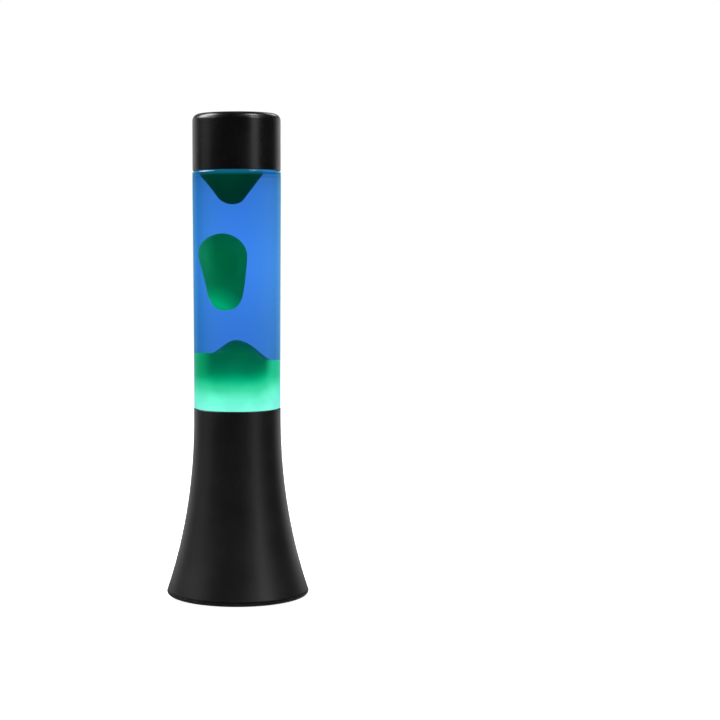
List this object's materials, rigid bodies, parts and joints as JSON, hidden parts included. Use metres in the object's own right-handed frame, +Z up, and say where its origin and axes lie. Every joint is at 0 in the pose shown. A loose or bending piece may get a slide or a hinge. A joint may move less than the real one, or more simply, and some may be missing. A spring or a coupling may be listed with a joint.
{
  "type": "lava lamp",
  "caption": "Lava lamp: flared black metal base with bulb holder, straight glass cylinder of blue liquid and drifting green wax, and a plain black cap.",
  "frame": {"origin": "on the table at the centre of the base", "axes": "+Z up along the lamp's axis, -Y towards the front, +Y towards the cord hole, +X to the viewer's right"},
  "size_m": [0.108, 0.108, 0.364],
  "materials": {
    "black_paint": "satin",
    "zinc": "satin",
    "tinplate": "satin",
    "tungsten": "satin",
    "black_rubber": "matte",
    "brass": "satin",
    "cap_alloy": "satin",
    "solder": "satin",
    "holder_moulding": "matte",
    "block_moulding": "matte",
    "brown_sleeve": "matte",
    "blue_sleeve": "matte",
    "clear_glass": "gloss",
    "bulb_glass": "gloss",
    "dark_glass": "gloss",
    "blue_liquid": "gloss",
    "green_wax": "gloss",
    "liner_foam": "matte"
  },
  "bodies": {
    "base": {"base_shell": "black_paint", "shell_tabs": "zinc", "bottom_plate": "zinc", "rubber_feet": "black_rubber", "plate_screws": "zinc", "cord_grommet": "black_rubber", "lampholder_bracket": "zinc", "bracket_screws": "zinc", "bracket_nuts": "zinc", "holder_nipple": "brass", "nipple_nut": "brass", "lampholder_body": "holder_moulding", "lampholder_sleeve": "brass", "lampholder_contact": "brass", "terminal_block": "block_moulding", "terminal_screws": "zinc", "block_screw": "zinc", "lead_live": "brown_sleeve", "lead_neutral": "blue_sleeve"},
    "bulb_tip": {"bulb_contact": "solder"},
    "bulb": {"bulb_cap": "cap_alloy", "bulb_insulator": "dark_glass", "bulb_glass": "bulb_glass", "bulb_stem": "clear_glass", "filament_supports": "zinc", "bulb_filament": "tungsten"},
    "bottle": {"glass_bottle": "clear_glass", "heating_coil": "zinc", "wax_pool": "green_wax", "wax_top": "green_wax", "liquid": "blue_liquid", "bottle_lid": "tinplate", "lid_liner": "liner_foam"},
    "blob": {"wax_blob": "green_wax"},
    "cap": {"top_cap": "black_paint"}
  },
  "joints": [
    {"name": "bottle_lift", "type": "slide", "parent": "base", "child": "bottle", "axis": [0, 0, 1], "range_m": [0, 0.06]},
    {"name": "cap_lift", "type": "slide", "parent": "bottle", "child": "cap", "axis": [0, 0, 1], "range_m": [0, 0.045]},
    {"name": "blob_rise", "type": "slide", "parent": "bottle", "child": "blob", "axis": [0, 0, 1], "range_m": [-0.012, 0.012], "deforming": ["liquid"]},
    {"name": "bulb_lift", "type": "slide", "parent": "base", "child": "bulb_tip", "axis": [0, 0, 1], "range_m": [0, 0.0071]},
    {"name": "bulb_turn", "type": "hinge", "parent": "bulb_tip", "child": "bulb", "pos_m": [0, 0, 0.05], "axis": [0, 0, 1], "range_deg": [0, 900]}
  ],
  "couplings": [
    {"joint": "bulb_lift", "follows": "bulb_turn", "m_per_rad": 0.00044882}
  ]
}
